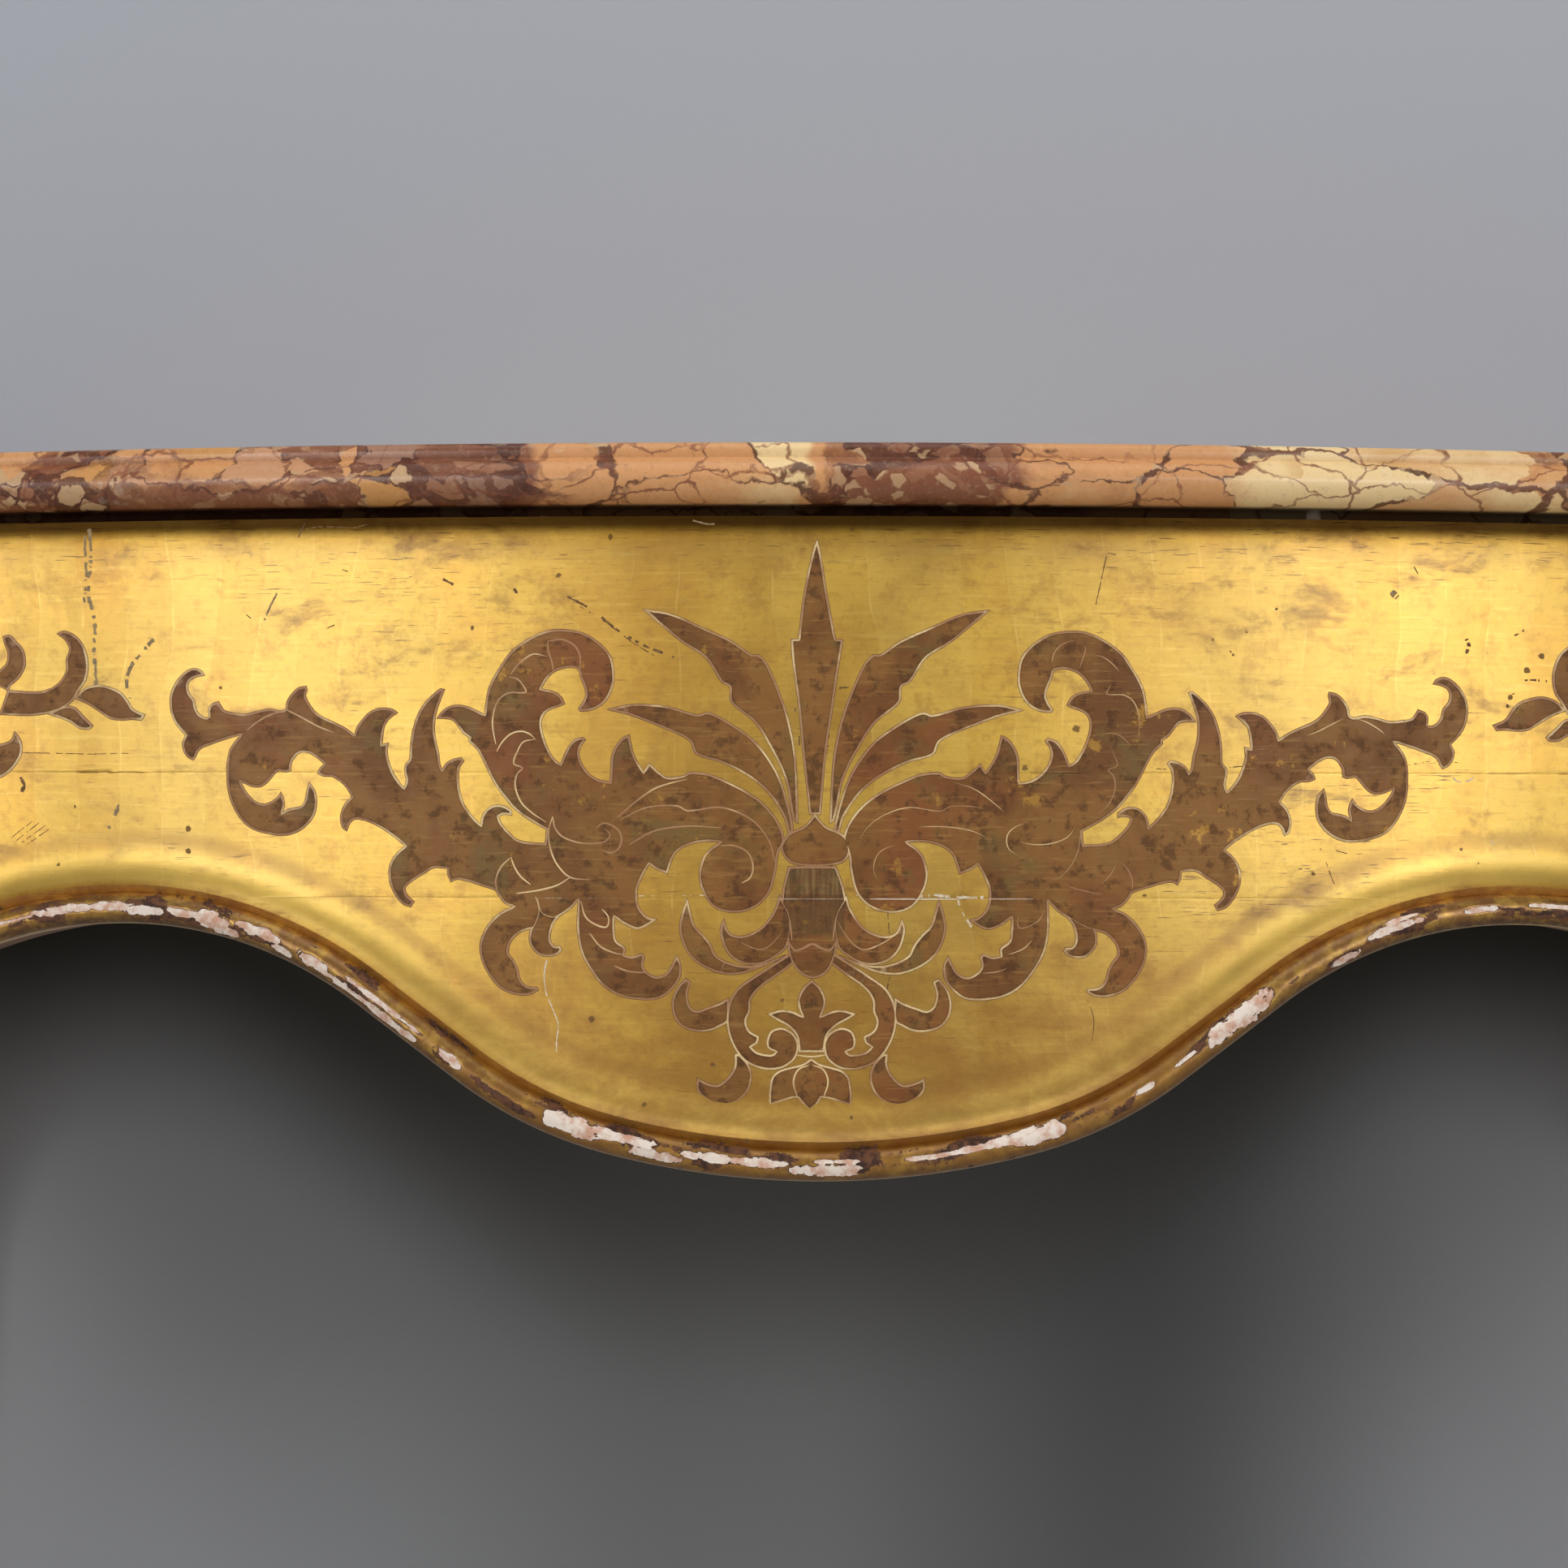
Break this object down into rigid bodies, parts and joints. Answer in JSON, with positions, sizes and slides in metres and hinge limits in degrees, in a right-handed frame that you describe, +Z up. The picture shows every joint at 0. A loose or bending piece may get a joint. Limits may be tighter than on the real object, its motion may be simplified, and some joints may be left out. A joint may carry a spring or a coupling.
{
  "type": "marble-top console table",
  "caption": "Console table with a moulded marble slab on a serpentine gilt frame, a scalloped painted apron and cabriole legs.",
  "frame": {"origin": "on the floor under the middle of the bounding box", "axes": "+X towards the right of someone who faces the front, +Y towards the wall, +Z up"},
  "size_m": [1.2256, 0.5454, 0.9],
  "materials": {
    "marble": "polished breccia",
    "gilded_wood": "worn gold leaf on bole and gesso",
    "foot_gilding": "worn gold leaf on bole and gesso",
    "bare_wood": "old bare timber",
    "peg_wood": "old bare timber"
  },
  "bodies": {
    "root": {"marble_slab": "marble", "front_apron_upper_board": "gilded_wood", "front_apron_middle_board": "gilded_wood", "front_apron_lower_board": "gilded_wood", "left_apron_upper_board": "gilded_wood", "left_apron_lower_board": "gilded_wood", "right_apron_upper_board": "gilded_wood", "right_apron_lower_board": "gilded_wood", "front_left_leg": "gilded_wood", "front_right_leg": "gilded_wood", "rear_left_leg": "gilded_wood", "rear_right_leg": "gilded_wood", "front_left_foot_block": "foot_gilding", "front_right_foot_block": "foot_gilding", "rear_left_foot_block": "foot_gilding", "rear_right_foot_block": "foot_gilding", "back_rail": "bare_wood", "left_cross_bearer": "bare_wood", "right_cross_bearer": "bare_wood", "left_batten": "bare_wood", "middle_batten": "bare_wood", "right_batten": "bare_wood", "front_tenon_pegs": "peg_wood", "left_tenon_pegs": "peg_wood", "right_tenon_pegs": "peg_wood", "back_rail_pegs": "peg_wood"}
  },
  "joints": []
}
